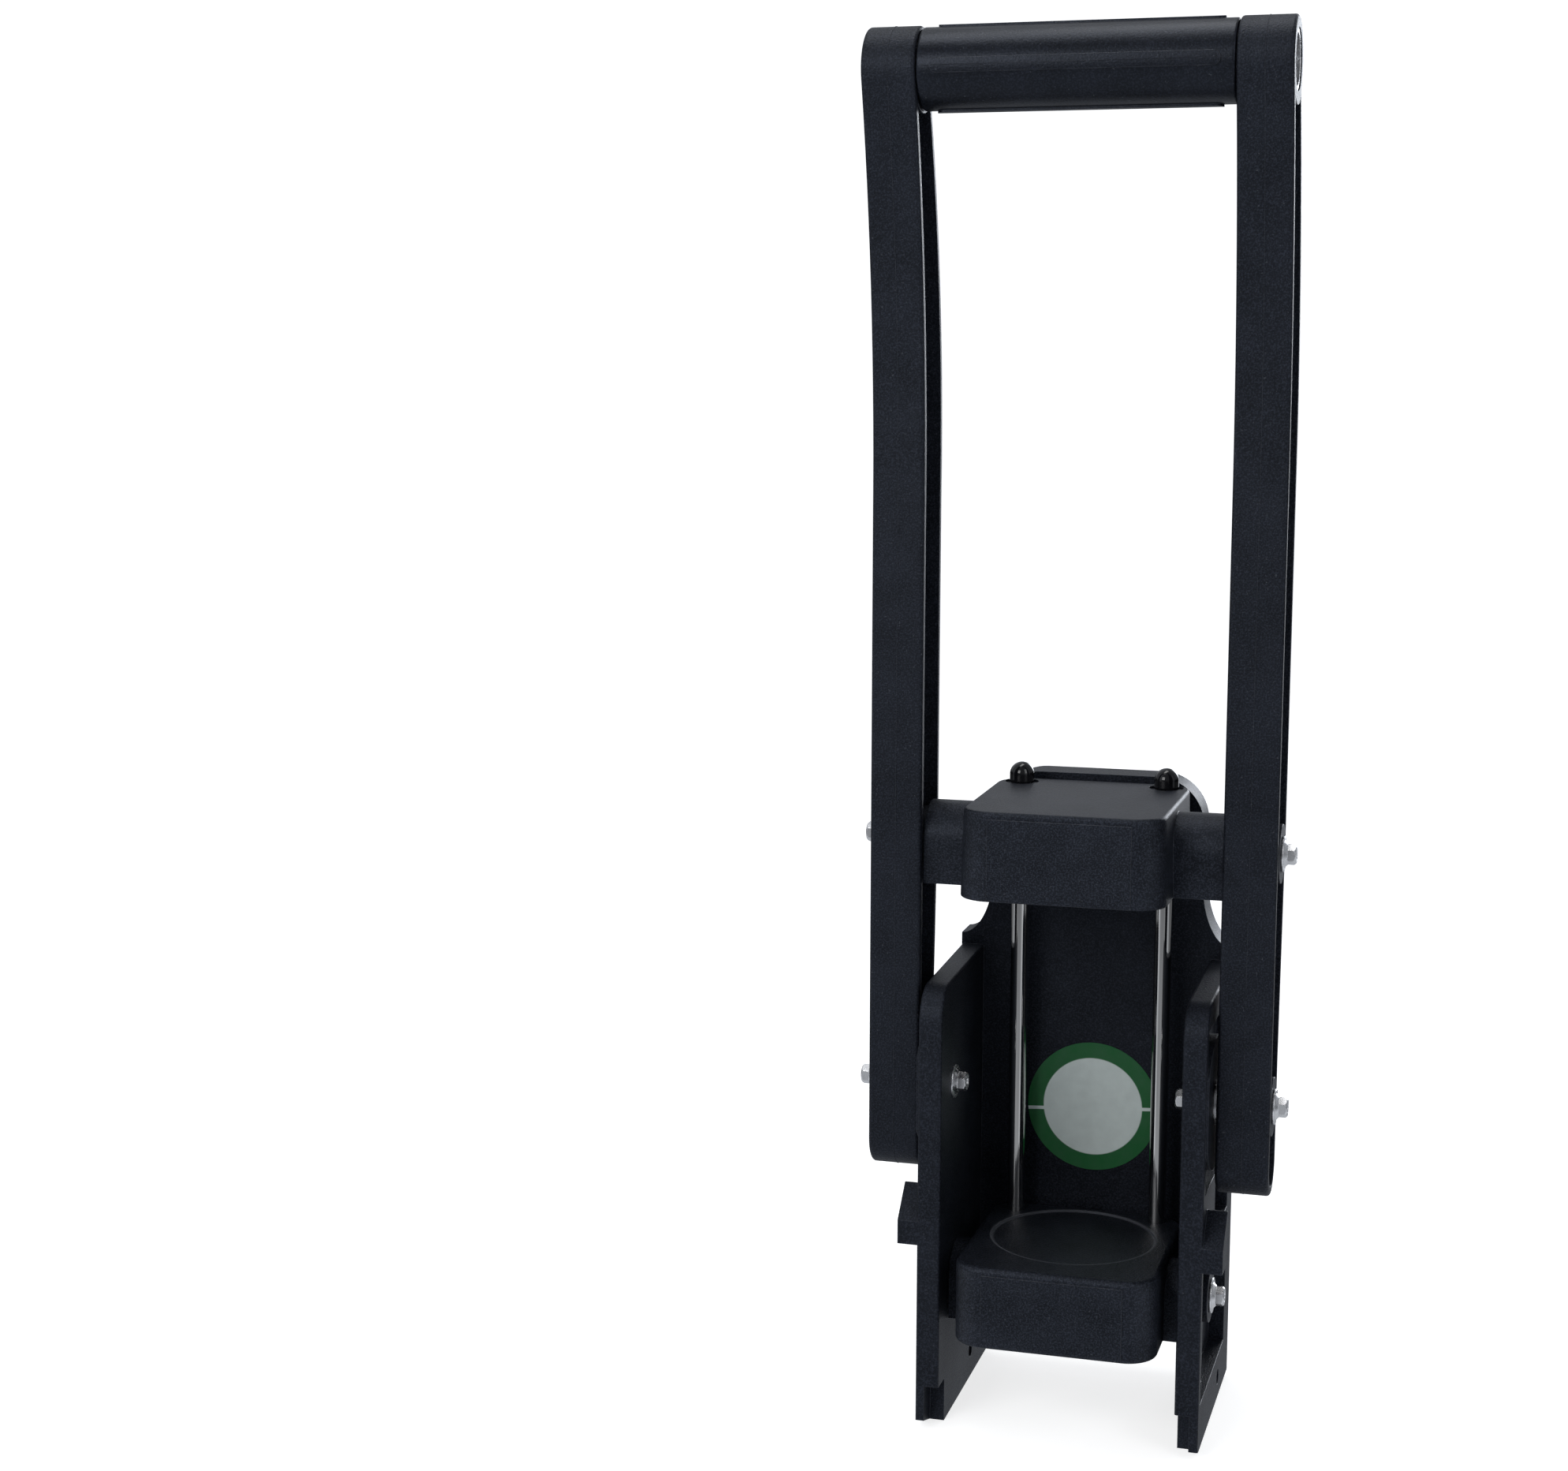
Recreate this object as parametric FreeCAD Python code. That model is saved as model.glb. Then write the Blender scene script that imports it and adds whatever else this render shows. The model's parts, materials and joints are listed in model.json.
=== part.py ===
import FreeCAD, Part
import math
import os

# Lever can crusher for a wall or a bench. Millimetres.
# While building: x to the right, y from the front edges of the side plates (0) back to the
# wall, z up from the toes of the side plates. write() moves every piece to the shared frame,
# whose origin is the middle of the wall-screw pattern on the wall plane.

V = FreeCAD.Vector
X_AXIS = V(1, 0, 0)
Y_AXIS = V(0, 1, 0)
Z_AXIS = V(0, 0, 1)

# --- clearances -------------------------------------------------------------------------
RUN = 0.05            # radial clearance of a pin that turns in its bore
SIDE = 0.3            # gap between faces that pass each other
FIT = 0.02            # radial clearance of a piece fixed in its hole

# --- frame ------------------------------------------------------------------------------
PLATE_GAP = 106.6     # between the inner faces of the side plates
PLATE_T = 10.6        # side plate over its rims
WEB_T = 3.4           # inner skin of a side plate
RIM_T = 5.0           # rim round the pockets of a side plate
PLATE_DEPTH = 104.0   # front edge to wall
PLATE_H = 200.5       # side plate above its toe, at its front corner
PLATE_RISE = 2.4      # and its top edge climbs this much to the wall
FOOT_DROP = 4.0       # its foot below the toe
PLATE_R = 16.0        # rounded front top corner
BACK_D = 17.5         # depth of the back box
BACK_SKIN = 4.5       # front skin of the back box
BACK_WALL = 4.0       # outer wall and ribs of the back box
BACK_LOW = 24.0       # bottom edge of the back box
BACK_STEP = 7.3       # back box above the side plates' front corner
FLARE_H = 31.0        # height of its concave shoulders
NECK_W = 98.0         # width of the back box above the shoulders
BACK_TOP = 286.5      # top of the back box
BACK_TOP_R = 22.0     # rounded top corners
NOTCH_H = 16.4        # cut at the foot of each plate's front edge
NOTCH_D = 12.5
NOTCH_SKIN = 4.0      # outer skin left beside the notch
LOW_POCKET = (20.0, 82.0)      # heights of the lower side pocket
TOP_POCKET = (116.0, 189.5)    # heights of the upper side pocket
BAND_POCKET_Y = 40.0           # front end of the small pocket between them
SKIRT_HOLE_D = 7.2
SKIRT_HOLE = (67.6, 9.3)       # y, height
STOP_OUT = 8.9        # lever stop, how far it stands out
STOP_Z = 82.5         # its lower end
STOP_FACE = 11.0      # its upright front face
STOP_RAMP = 13.5      # its sloped top, up and back
STOP_LAND = 1.0       # flat behind the slope

# --- wall screws ------------------------------------------------------------------------
SCREW_DX = 50.0
SCREW_DZ = 200.0
SCREW_MID = 150.0     # height of the pattern's middle above the feet
SCREW_HOLE_D = 6.5
SCREW_SEAT_D = 14.0
SCREW_BOSS_D = 18.0
SCREW_SEAT_DEPTH = 1.5

# --- pivots -----------------------------------------------------------------------------
MAIN_Y = 26.5
MAIN_Z = 152.4
LOW_Y = 33.0
LOW_Z = 61.0
PIVOT_RISE = 203.0    # trunnion above the lower pivot, lever up
SHANK_D = 6.0         # every bolt
SHANK_L = 12.0
HEAD_FLANGE_D = 15.7
HEAD_RIM = 0.9        # straight rim of the flange
HEAD_CONE = 2.2       # rim and cone of the flange together
HEAD_CONE_D = 12.0    # foot of the cone
HEAD_AF = 8.0
HEAD_H = 6.0
HEAD_DISH_D = 4.6
HEAD_DISH = 0.4
THRUST_D = 60.0       # round pad of the side plate that the arm runs against
THRUST_OUT = 1.0      # how far it stands out
LOW_BOSS_D = 24.0
BARREL_D = 12.0       # threaded barrel that a pivot turns on
BARREL_IN = 15.0      # its length inside a block
COLLAR_D = 20.0       # collar of the main barrel, between plate and arm

# --- lever ------------------------------------------------------------------------------
ARM_GAP = 133.2       # between the inner faces of the arms
ARM_W = 23.3          # arm width
ARM_WEB = 4.0         # web midway between its sides
ARM_FLANGE = 4.0      # flanges round the web
ARM_FRONT = 12.5      # front edge of the straight part
ARM_D = 34.8          # depth of the straight part
ARM_LEAN_D = 34.2     # depth half way up the lean
ARM_NECK_D = 28.8     # depth just under the eye
NECK_R = 8.0          # hollow corner there
EYE_D = 36.0          # across the eye
ARM_LOW_D = 28.0      # depth at the main pivot
ARM_TAIL = 40.2       # end of the arm below the main pivot
TAPER_LOW = 17.6      # taper starts above the main pivot
TAPER_TOP = 122.6     # and ends
BEND_Z = 420.0        # where the arm starts to lean forward
BEND_R = 639.0
BEND_RISE = 177.8     # from there up to the eye
ARM_BOSS_D = 26.0
ARM_EDGE_R = 1.6
GRIP_TUBE_D = 25.4
GRIP_TUBE_T = 2.0
GRIP_TUBE_INSET = 0.5
GRIP_D = 34.6
PAD_OUT = 0.9
PAD_W = 6.0
PAD_END = 6.0
PAD_COUNT = 4

# --- blocks -----------------------------------------------------------------------------
BLOCK_W = 90.6
BLOCK_FRONT = -14.0
BLOCK_BACK_GAP = 4.0  # behind the blocks, to the back box
BLOCK_R = 14.0
BLOCK_EDGE_R = 2.6    # top edge of the lower block
UPPER_EDGE_R = 1.7    # and of the upper one, clear of the rod slots
BLOCK_FOOT_R = 1.5    # lower edge of the lower block
BLOCK_FACE = 0.4      # front face stands out between its corners
BLOCK_FACE_TOP = 3.2  # and starts below the top edge
UPPER_UP = 20.0       # upper block above its trunnion
UPPER_DOWN = 19.5
UPPER_DRAFT = 1.1     # how much narrower each side is at the top
TRUNNION_D = 32.6     # round top of a trunnion, straight below
TRUNNION_DOWN = 19.0  # its flat underside below the pivot
LOWER_UP = 18.5       # lower block above its pivot
LOWER_DOWN = 18.5
LOWER_BOSS_D = 30.0
LOWER_BOSS_DOWN = 18.0
BLOCK_WALL = 4.0
BLOCK_SKIN = 6.0
PAD_SKIN = 5.0        # pressing face of the upper block
SEAT_D = 74.4         # round can seat
SEAT_DEPTH = 0.8
SEAT_BACK = 17.5      # behind the block's front face

# --- guide rods -------------------------------------------------------------------------
ROD_D = 8.0
ROD_DX = 66.6
ROD_BACK = 10.3       # in front of the block's rear
ROD_SOCKET = 32.0     # rod length inside the lower block
ROD_TOWER_D = 15.0
ROD_SWAY = 4.15       # fore and aft play that the crank needs
SLOT_WALL = 3.0
RECESS_D = 15.6       # round recess for the cap
RECESS_DEPTH = 1.2
CAP_D = 11.2
CAP_CYL = 3.8         # straight part of the cap
CAP_SEAT = 0.8        # cap above the recess floor
CAP_COVER = 5.0       # rod end inside the cap

# --- round adhesive disc ----------------------------------------------------------------
DISC_D = 61.6
DISC_T = 0.3
DISC_Z = 128.0

# --- worked out from the above ----------------------------------------------------------
PLATE_IN = PLATE_GAP / 2
PLATE_OUT = PLATE_IN + PLATE_T
PANEL_Y = PLATE_DEPTH - BACK_D
BLOCK_REAR = PANEL_Y - BLOCK_BACK_GAP
ROD_Y = BLOCK_REAR - ROD_BACK
SEAT_Y = BLOCK_FRONT + SEAT_BACK + SEAT_D / 2
UPPER_Y = LOW_Y
UPPER_Z = LOW_Z + PIVOT_RISE
ARM_IN = ARM_GAP / 2
ARM_OUT = ARM_IN + ARM_W
ARM_MID = ARM_FRONT + EYE_D / 2
EYE_ANGLE = math.asin(BEND_RISE / BEND_R)
EYE_Y = ARM_MID - BEND_R * (1 - math.cos(EYE_ANGLE))
EYE_Z = BEND_Z + BEND_RISE
BORE_D = BARREL_D + 2 * RUN
FIXED_D = BARREL_D + 2 * FIT
THREAD_D = SHANK_D + 2 * FIT
BLOCK_DEPTH = BLOCK_REAR - BLOCK_FRONT
BLOCK_MID = BLOCK_FRONT + BLOCK_DEPTH / 2
LOWER_TOP = LOW_Z + LOWER_UP
LOWER_BASE = LOW_Z - LOWER_DOWN
UPPER_TOP = UPPER_Z + UPPER_UP
UPPER_BASE = UPPER_Z - UPPER_DOWN
CAP_BASE = UPPER_TOP - RECESS_DEPTH + CAP_SEAT
ROD_TOP = CAP_BASE + CAP_COVER
ARM_SEAT = ARM_OUT + SIDE
PLATE_SEAT = PLATE_OUT + SIDE


# --- helpers ----------------------------------------------------------------------------
def box(x0, x1, y0, y1, z0, z1):
    return Part.makeBox(x1 - x0, y1 - y0, z1 - z0, V(x0, y0, z0))


def rod_x(x0, x1, y, z, d):
    """Cylinder along x."""
    return Part.makeCylinder(d / 2, x1 - x0, V(x0, y, z), X_AXIS)


def rod_y(y0, y1, x, z, d):
    return Part.makeCylinder(d / 2, y1 - y0, V(x, y0, z), Y_AXIS)


def rod_z(z0, z1, x, y, d):
    return Part.makeCylinder(d / 2, z1 - z0, V(x, y, z0), Z_AXIS)


def hex_x(x0, x1, y, z, across_flats):
    r = across_flats / math.sqrt(3)
    pts = []
    for i in range(7):
        a = math.radians(60 * i + 30)
        pts.append(V(x0, y + r * math.cos(a), z + r * math.sin(a)))
    return Part.Face(Part.makePolygon(pts)).extrude(V(x1 - x0, 0, 0))


def mirrored(shape):
    return shape.mirror(V(0, 0, 0), X_AXIS)


def rounded_plan(x0, x1, y0, y1, z, r):
    """Closed wire of a rectangle in plan with rounded corners."""
    c = r * (1 - math.cos(math.pi / 4))
    edges = [
        Part.makeLine(V(x0 + r, y0, z), V(x1 - r, y0, z)),
        Part.Arc(V(x1 - r, y0, z), V(x1 - c, y0 + c, z), V(x1, y0 + r, z)).toShape(),
        Part.makeLine(V(x1, y0 + r, z), V(x1, y1 - r, z)),
        Part.Arc(V(x1, y1 - r, z), V(x1 - c, y1 - c, z), V(x1 - r, y1, z)).toShape(),
        Part.makeLine(V(x1 - r, y1, z), V(x0 + r, y1, z)),
        Part.Arc(V(x0 + r, y1, z), V(x0 + c, y1 - c, z), V(x0, y1 - r, z)).toShape(),
        Part.makeLine(V(x0, y1 - r, z), V(x0, y0 + r, z)),
        Part.Arc(V(x0, y0 + r, z), V(x0 + c, y0 + c, z), V(x0 + r, y0, z)).toShape(),
    ]
    return Part.Wire(edges)


def fillet(shape, radius, wanted):
    """Round the edges whose middle point passes wanted(point, edge)."""
    edges = []
    for e in shape.Edges:
        p = e.valueAt((e.FirstParameter + e.LastParameter) / 2)
        if wanted(p, e):
            edges.append(e)
    if not edges:
        return shape
    return shape.makeFillet(radius, edges)


def write(node, shape):
    """Move a finished piece to the shared frame and write it."""
    out = shape.copy()
    out.translate(V(0, -PLATE_DEPTH, -SCREW_MID))
    out.exportStep(os.path.join("parts", node + ".step"))


def write_pair(name, right):
    write(name + "_right", right)
    write(name + "_left", mirrored(right))


# --- frame ------------------------------------------------------------------------------
def plate_outline():
    """Side plate seen from the side, front top corner rounded, toe above the foot."""
    r = PLATE_R
    c = r * (1 - math.cos(math.pi / 4))
    x = PLATE_IN
    pts = [V(x, r, PLATE_H), V(x, PLATE_DEPTH, PLATE_H + PLATE_RISE),
           V(x, PLATE_DEPTH, -FOOT_DROP),
           V(x, NOTCH_D, -FOOT_DROP), V(x, 0, 0), V(x, 0, PLATE_H - r)]
    edges = [Part.makeLine(pts[i], pts[i + 1]) for i in range(5)]
    edges.append(Part.Arc(pts[5], V(x, c, PLATE_H - c), pts[0]).toShape())
    return Part.Wire(edges)


def side_plate():
    plate = Part.Face(plate_outline()).extrude(V(PLATE_T, 0, 0))
    plate = fillet(plate, min(1.2, PLATE_T / 6), lambda p, e: p.y < PLATE_R * 0.9 and p.z > 1
                   and abs(p.x - PLATE_IN - PLATE_T / 2) > PLATE_T / 2 - 0.01)
    plate = fillet(plate, min(3.5, PLATE_T / 3), lambda p, e: p.z < 0.01 - FOOT_DROP and
                   p.x > PLATE_OUT - 0.01)
    # pockets open outwards, bosses and ribs stand in them up to the rims
    x0 = PLATE_IN + WEB_T
    x1 = PLATE_OUT + 1
    rear = PANEL_Y
    pockets = [
        box(x0, x1, RIM_T, rear, LOW_POCKET[0], LOW_POCKET[1]),
        box(x0, x1, BAND_POCKET_Y, rear, LOW_POCKET[1] + WEB_T, TOP_POCKET[0] - WEB_T),
        box(x0, x1, RIM_T, rear, TOP_POCKET[0], TOP_POCKET[1]),
    ]
    bosses = [
        rod_x(PLATE_IN, PLATE_OUT, MAIN_Y, MAIN_Z, THRUST_D),
        rod_x(PLATE_IN, PLATE_OUT, LOW_Y, LOW_Z, LOW_BOSS_D),
        box(PLATE_IN, PLATE_OUT - WEB_T, MAIN_Y, rear, MAIN_Z - WEB_T / 2, MAIN_Z + WEB_T / 2),
        box(PLATE_IN, PLATE_OUT - WEB_T, LOW_Y, rear, LOW_Z - WEB_T / 2, LOW_Z + WEB_T / 2),
        box(PLATE_IN, PLATE_OUT - WEB_T, MAIN_Y - WEB_T / 2, MAIN_Y + WEB_T / 2,
            TOP_POCKET[0] - 1, TOP_POCKET[1] + 1),
        box(PLATE_IN, PLATE_OUT - WEB_T, LOW_Y - WEB_T / 2, LOW_Y + WEB_T / 2,
            LOW_POCKET[0] - 1, LOW_POCKET[1] + 1),
    ]
    cut = pockets[0].fuse(pockets[1:]).cut(bosses[0].fuse(bosses[1:]))
    plate = plate.cut(cut)
    # lever stop on the outer face
    s = STOP_RAMP
    top = STOP_Z + STOP_FACE
    x = PLATE_OUT - 1
    prof = [V(x, 0, STOP_Z), V(x, 0, top), V(x, s, top + s), V(x, s + STOP_LAND, top + s),
            V(x, s + STOP_LAND, STOP_Z)]
    prof.append(prof[0])
    stop = Part.Face(Part.makePolygon(prof)).extrude(V(STOP_OUT + 1, 0, 0))
    pad = rod_x(PLATE_OUT - 1, PLATE_OUT + THRUST_OUT, MAIN_Y, MAIN_Z, THRUST_D)
    pad = pad.common(box(PLATE_IN, ARM_IN, RIM_T / 4, PANEL_Y, 0, PLATE_H))
    plate = plate.fuse([stop, pad])
    # notch at the foot, bores and the skirt hole
    plate = plate.cut(box(PLATE_IN - 1, PLATE_OUT - NOTCH_SKIN, -1, NOTCH_D,
                          -FOOT_DROP - 1, NOTCH_H))
    plate = plate.cut(rod_x(PLATE_IN - 1, ARM_IN, MAIN_Y, MAIN_Z, FIXED_D))
    plate = plate.cut(rod_x(PLATE_IN - 1, PLATE_OUT + 1, LOW_Y, LOW_Z, BORE_D))
    plate = plate.cut(rod_x(PLATE_IN - 1, PLATE_OUT + 1, SKIRT_HOLE[0], SKIRT_HOLE[1],
                            SKIRT_HOLE_D))
    return plate


def back_outline(y, inset):
    """Back box seen from the front, with its concave shoulders and rounded top."""
    w = PLATE_OUT - inset
    n = NECK_W / 2 - inset
    low = BACK_LOW + inset
    top = BACK_TOP - inset
    r = BACK_TOP_R - inset
    shoulder = PLATE_H + BACK_STEP - inset
    neck_z = shoulder + FLARE_H
    c = r * (1 - math.cos(math.pi / 4))

    def half(s):
        side = Part.makeLine(V(s * w, y, low), V(s * w, y, shoulder))
        flare = Part.Ellipse(V(s * w, y, shoulder), V(s * n, y, neck_z), V(s * w, y, neck_z))
        flare = flare.toShape(0, math.pi / 2)
        neck = Part.makeLine(V(s * n, y, neck_z), V(s * n, y, top - r))
        corner = Part.Arc(V(s * n, y, top - r), V(s * (n - c), y, top - c),
                          V(s * (n - r), y, top)).toShape()
        return [side, flare, neck, corner]

    edges = half(1) + half(-1)
    edges.append(Part.makeLine(V(n - r, y, top), V(r - n, y, top)))
    edges.append(Part.makeLine(V(w, y, low), V(-w, y, low)))
    return Part.Wire(Part.__sortEdges__(edges))


def screw_points():
    pts = []
    for sx in (-1, 1):
        for sz in (-1, 1):
            pts.append((sx * SCREW_DX / 2, SCREW_MID + sz * SCREW_DZ / 2))
    return pts


def frame():
    back = Part.Face(back_outline(PANEL_Y, 0.0)).extrude(V(0, BACK_D, 0))
    hollow = Part.Face(back_outline(PANEL_Y + BACK_SKIN, BACK_WALL)).extrude(V(0, BACK_D, 0))
    hollow = hollow.common(box(-PLATE_IN, PLATE_IN, 0, 2 * PLATE_DEPTH, 0, 2 * BACK_TOP))
    y0 = PANEL_Y + 1
    t = BACK_WALL / 2
    keep = []
    for sx in (-1, 1):
        x = sx * SCREW_DX / 2
        keep.append(box(x - t, x + t, y0, PLATE_DEPTH, 0, BACK_TOP))
    for sz in (-1, 0, 1):
        z = SCREW_MID + sz * SCREW_DZ / 2
        keep.append(box(-PLATE_OUT, PLATE_OUT, y0, PLATE_DEPTH, z - t, z + t))
    for sz in (-1, 1):
        z = SCREW_MID + sz * SCREW_DZ / 4
        keep.append(box(-PLATE_OUT, PLATE_OUT, y0, PLATE_DEPTH, z - t, z + t))
    for x, z in screw_points():
        keep.append(rod_y(y0, PLATE_DEPTH, x, z, SCREW_BOSS_D))
    back = back.cut(hollow.cut(keep[0].fuse(keep[1:])))
    plate = side_plate()
    body = back.fuse([plate, mirrored(plate)])
    for x, z in screw_points():
        body = body.cut(rod_y(PANEL_Y - 1, PLATE_DEPTH + 1, x, z, SCREW_HOLE_D))
        body = body.cut(rod_y(PANEL_Y - 1, PANEL_Y + SCREW_SEAT_DEPTH, x, z, SCREW_SEAT_D))
    return body.removeSplitter()


# --- fasteners --------------------------------------------------------------------------
def bolt(seat, y, z):
    """Bolt along x with a coned flange under its hex head, head outwards from its seat."""
    centre = V(seat, y, z)
    rim = Part.makeCylinder(HEAD_FLANGE_D / 2, HEAD_RIM, centre, X_AXIS)
    rim = fillet(rim, HEAD_RIM * 0.4, lambda p, e: p.x > seat + HEAD_RIM / 2 and
                 e.Length > HEAD_FLANGE_D * 3)
    corner = HEAD_AF / math.sqrt(3)
    cone = Part.makeCone(HEAD_CONE_D / 2, corner, HEAD_CONE - HEAD_RIM,
                         V(seat + HEAD_RIM, y, z), X_AXIS)
    head = hex_x(seat, seat + HEAD_H, y, z, HEAD_AF)
    crown = Part.makeCone(HEAD_AF * 0.46 + HEAD_H, HEAD_AF * 0.46, HEAD_H, centre, X_AXIS)
    head = head.common(crown)
    head = head.cut(rod_x(seat + HEAD_H - HEAD_DISH, seat + HEAD_H + 1, y, z, HEAD_DISH_D))
    end = seat - SHANK_L
    shank = rod_x(end, seat + 1, y, z, SHANK_D)
    shank = fillet(shank, SHANK_D / 10, lambda p, e: p.x < end + 0.01)
    return rim.fuse([cone, head, shank]).removeSplitter()


def barrel(inner, seat, y, z):
    """Steel barrel along x, threaded through; a bolt's flange closes it at its seat."""
    return rod_x(inner, seat, y, z, BARREL_D).cut(rod_x(inner - 1, seat + 1, y, z, THREAD_D))


def main_barrel():
    """Barrel clamped to the side plate by its collar and the inner bolt."""
    body = rod_x(PLATE_IN + SIDE, ARM_SEAT, MAIN_Y, MAIN_Z, BARREL_D)
    body = body.fuse(rod_x(PLATE_OUT + THRUST_OUT, ARM_IN - SIDE, MAIN_Y, MAIN_Z, COLLAR_D))
    return body.cut(rod_x(PLATE_IN, ARM_SEAT + 1, MAIN_Y, MAIN_Z, THREAD_D))


def turned_inwards(shape, x):
    """The same piece facing the other way about the plane at x."""
    return shape.mirror(V(x, 0, 0), X_AXIS)


# --- lever ------------------------------------------------------------------------------
def arm_strip(x0, x1, inset):
    """Arm from its round tail up round the eye; inset shrinks it all round."""
    f = ARM_FRONT + inset
    b = ARM_FRONT + ARM_D - inset
    b_low = ARM_FRONT + ARM_LOW_D - inset
    r_end = ARM_LOW_D / 2 - inset
    mid = ARM_FRONT + ARM_LOW_D / 2
    z_end = MAIN_Z - ARM_TAIL + ARM_LOW_D / 2
    a = EYE_ANGLE
    cy = ARM_MID - BEND_R
    r_eye = EYE_D / 2 - inset
    rf = BEND_R - r_eye
    r_lean = BEND_R - EYE_D / 2 + ARM_LEAN_D - inset

    def on(radius, angle):
        return V(x0, cy + radius * math.cos(angle), BEND_Z + radius * math.sin(angle))

    # eye ring, from its front round the top and the rear to the neck
    out = V(0, math.cos(a), math.sin(a))
    up = V(0, -math.sin(a), math.cos(a))
    eye = on(BEND_R, a)
    side = ARM_NECK_D - EYE_D / 2 - inset
    neck = eye + out * side - up * math.sqrt(r_eye ** 2 - side ** 2)
    edges = [
        Part.makeLine(V(x0, f, z_end), V(x0, f, BEND_Z)),
        Part.Arc(V(x0, f, BEND_Z), on(rf, a / 2), on(rf, a)).toShape(),
        Part.Arc(on(rf, a), eye + up * r_eye, neck).toShape(),
        Part.Arc(neck, on(r_lean, a / 2), V(x0, b, BEND_Z)).toShape(),
        Part.makeLine(V(x0, b, BEND_Z), V(x0, b, MAIN_Z + TAPER_TOP)),
        Part.makeLine(V(x0, b, MAIN_Z + TAPER_TOP), V(x0, b_low, MAIN_Z + TAPER_LOW)),
        Part.makeLine(V(x0, b_low, MAIN_Z + TAPER_LOW), V(x0, b_low, z_end)),
        Part.Arc(V(x0, b_low, z_end), V(x0, mid, z_end - r_end), V(x0, f, z_end)).toShape(),
    ]
    strip = Part.Face(Part.Wire(edges)).extrude(V(x1 - x0, 0, 0))
    return fillet(strip, NECK_R + inset, lambda p, e: (p - neck).cross(X_AXIS).Length < 0.01)


def arm():
    body = arm_strip(ARM_IN, ARM_OUT, 0.0)
    body = fillet(body, min(ARM_EDGE_R, ARM_FLANGE * 0.4), lambda p, e:
                  abs(p.x - ARM_IN) < 0.01 or abs(p.x - ARM_OUT) < 0.01)
    # a pocket on each side of the web, bosses stand in them
    mid = (ARM_IN + ARM_OUT) / 2
    keep = [
        box(mid - ARM_WEB / 2, mid + ARM_WEB / 2, -PLATE_DEPTH, PLATE_DEPTH, 0, EYE_Z),
        rod_x(ARM_IN - 2, ARM_OUT + 2, MAIN_Y, MAIN_Z, ARM_BOSS_D),
        rod_x(ARM_IN - 2, ARM_OUT + 2, UPPER_Y, UPPER_Z, ARM_BOSS_D),
        rod_x(ARM_IN - 2, ARM_OUT + 2, EYE_Y, EYE_Z, EYE_D),
    ]
    pockets = arm_strip(ARM_IN - 1, ARM_OUT + 1, ARM_FLANGE)
    body = body.cut(pockets.cut(keep[0].fuse(keep[1:])))
    for y, z in ((MAIN_Y, MAIN_Z), (UPPER_Y, UPPER_Z)):
        body = body.cut(rod_x(ARM_IN - 1, ARM_OUT + 1, y, z, BORE_D))
    return body.cut(rod_x(ARM_IN - 1, ARM_OUT + 1, EYE_Y, EYE_Z, GRIP_TUBE_D + 2 * FIT))


def grip_tube():
    end = ARM_OUT - GRIP_TUBE_INSET
    tube = rod_x(-end, end, EYE_Y, EYE_Z, GRIP_TUBE_D)
    return tube.cut(rod_x(-end - 1, end + 1, EYE_Y, EYE_Z, GRIP_TUBE_D - 2 * GRIP_TUBE_T))


def grip_sleeve():
    """Moulded sleeve that turns on the cross tube, with long raised pads round it."""
    end = ARM_IN - SIDE
    core = rod_x(-end, end, EYE_Y, EYE_Z, GRIP_D)
    core = fillet(core, 1.2, lambda p, e: e.Length > GRIP_D * 3 and abs(abs(p.x) - end) < 0.01)
    ring = rod_x(-end, end, EYE_Y, EYE_Z, GRIP_D + 2 * PAD_OUT)
    pads = []
    run = end - PAD_END - PAD_W / 2
    for i in range(PAD_COUNT):
        a = 2 * math.pi * i / PAD_COUNT
        out = V(0, -math.cos(a), math.sin(a))
        side = V(0, math.sin(a), math.cos(a))
        base = V(0, EYE_Y, EYE_Z) + out * (GRIP_D / 2 - 2)
        # stadium in the plane square to out, pushed outwards
        h = PAD_W / 2
        p1 = base + X_AXIS * (-run) + side * h
        p2 = base + X_AXIS * run + side * h
        p3 = base + X_AXIS * (run + h)
        p4 = base + X_AXIS * run - side * h
        p5 = base + X_AXIS * (-run) - side * h
        p6 = base + X_AXIS * (-run - h)
        wire = Part.Wire([Part.makeLine(p1, p2), Part.Arc(p2, p3, p4).toShape(),
                          Part.makeLine(p4, p5), Part.Arc(p5, p6, p1).toShape()])
        stub = Part.Face(wire).extrude(out * (2 + 2 * PAD_OUT))
        pads.append(stub.common(ring))
    body = core.fuse(pads)
    return body.cut(rod_x(-end - 1, end + 1, EYE_Y, EYE_Z, GRIP_TUBE_D + 2 * RUN))


# --- blocks -----------------------------------------------------------------------------
def cavity(x0, x1, y0, y1, z0, z1, keep):
    """Ribbed hollow of a moulded block: a rounded box less the walls in keep."""
    r = max(BLOCK_R - BLOCK_WALL, 1.0)
    space = Part.Face(rounded_plan(x0, x1, y0, y1, z0, r)).extrude(V(0, 0, z1 - z0))
    return space.cut(keep[0].fuse(keep[1:]))


def ribs(z0, z1, xs, ys):
    t = BLOCK_WALL / 2
    half = BLOCK_W / 2
    out = [box(x - t, x + t, BLOCK_FRONT, BLOCK_FRONT + BLOCK_DEPTH, z0, z1) for x in xs]
    out += [box(-half, half, y - t, y + t, z0, z1) for y in ys]
    return out


def arch_x(end, y, z, d, down):
    """Boss right through a block: round on top, straight front and rear, flat below."""
    return rod_x(-end, end, y, z, d).fuse(box(-end, end, y - d / 2, y + d / 2, z - down, z))


def front_face(z0, z1):
    """The part of a block's front that stands out between the rounded corners."""
    half = BLOCK_W / 2 - BLOCK_R
    return box(-half, half, BLOCK_FRONT, BLOCK_FRONT + BLOCK_WALL / 2, z0, z1)


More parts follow.
